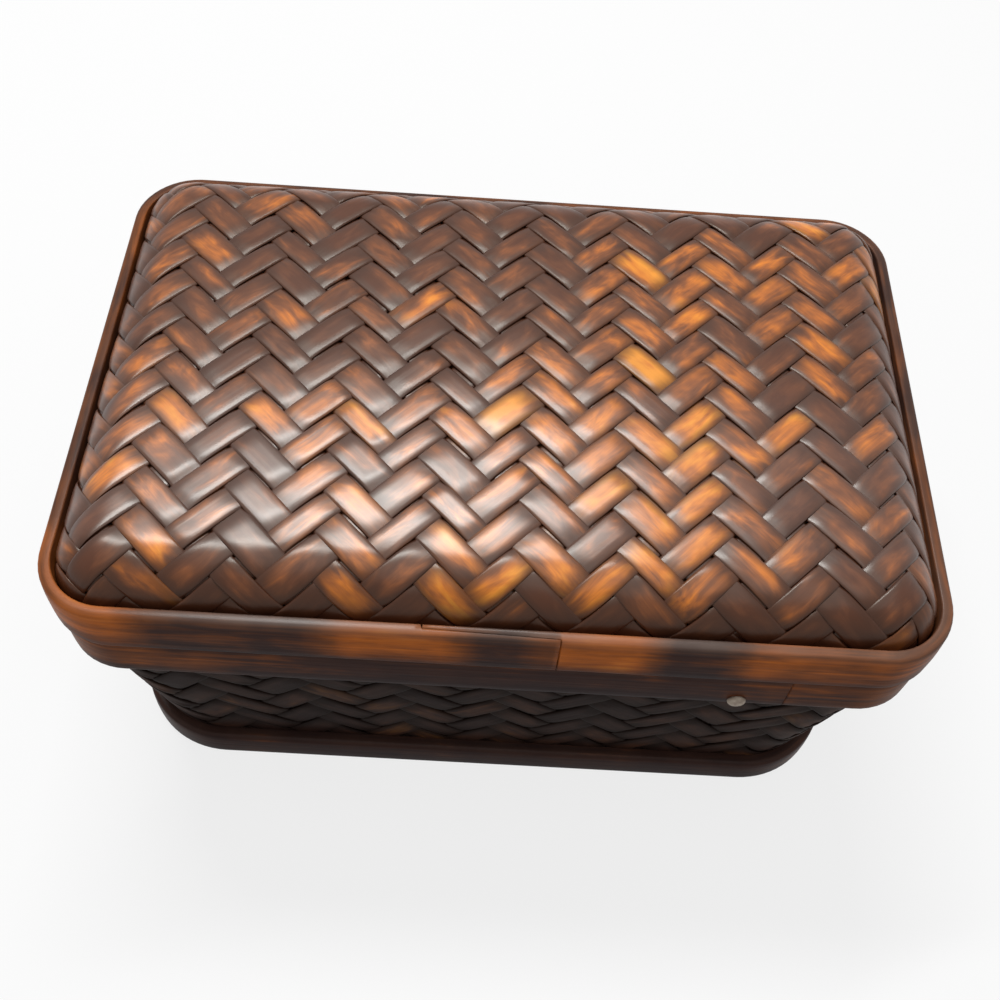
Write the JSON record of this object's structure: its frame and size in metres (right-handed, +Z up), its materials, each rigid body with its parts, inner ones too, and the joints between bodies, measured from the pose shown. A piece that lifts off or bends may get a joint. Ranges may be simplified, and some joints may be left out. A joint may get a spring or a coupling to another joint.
{
  "type": "woven bamboo trinket box",
  "caption": "Small rectangular box with rounded corners, a pillowed twill-woven lid that lifts off, bent bamboo hoops and leaning woven walls.",
  "frame": {"origin": "on the ground under the middle of the box", "axes": "+Z up, X along the long side, the front with the pin faces -Y"},
  "size_m": [0.15, 0.101, 0.0775],
  "materials": {
    "tortoiseshell_bamboo": "glossy lacquer over smoked bamboo strips mottled amber and dark brown",
    "hoop_bamboo": "satin lacquer over bent split bamboo, mottled lengthwise",
    "dark_bamboo": "satin lacquer over dark smoked bamboo strips",
    "plain_bamboo": "matt plain bamboo",
    "pale_peg": "smooth pale peg"
  },
  "bodies": {
    "base": {"base_wall_weave": "dark_bamboo", "base_rim_hoop": "hoop_bamboo", "rim_hoop_pin": "pale_peg", "base_collar": "plain_bamboo", "base_liner": "plain_bamboo", "base_floor_weave": "dark_bamboo", "base_foot_hoop": "hoop_bamboo", "base_foot_ledge": "plain_bamboo"},
    "lid": {"lid_weave": "tortoiseshell_bamboo", "lid_outer_hoop": "hoop_bamboo", "lid_inner_hoop": "plain_bamboo", "lid_liner": "plain_bamboo"}
  },
  "joints": [
    {"name": "lid_lift", "type": "slide", "parent": "base", "child": "lid", "axis": [0, 0, 1], "range_m": [0, 0.08]}
  ]
}
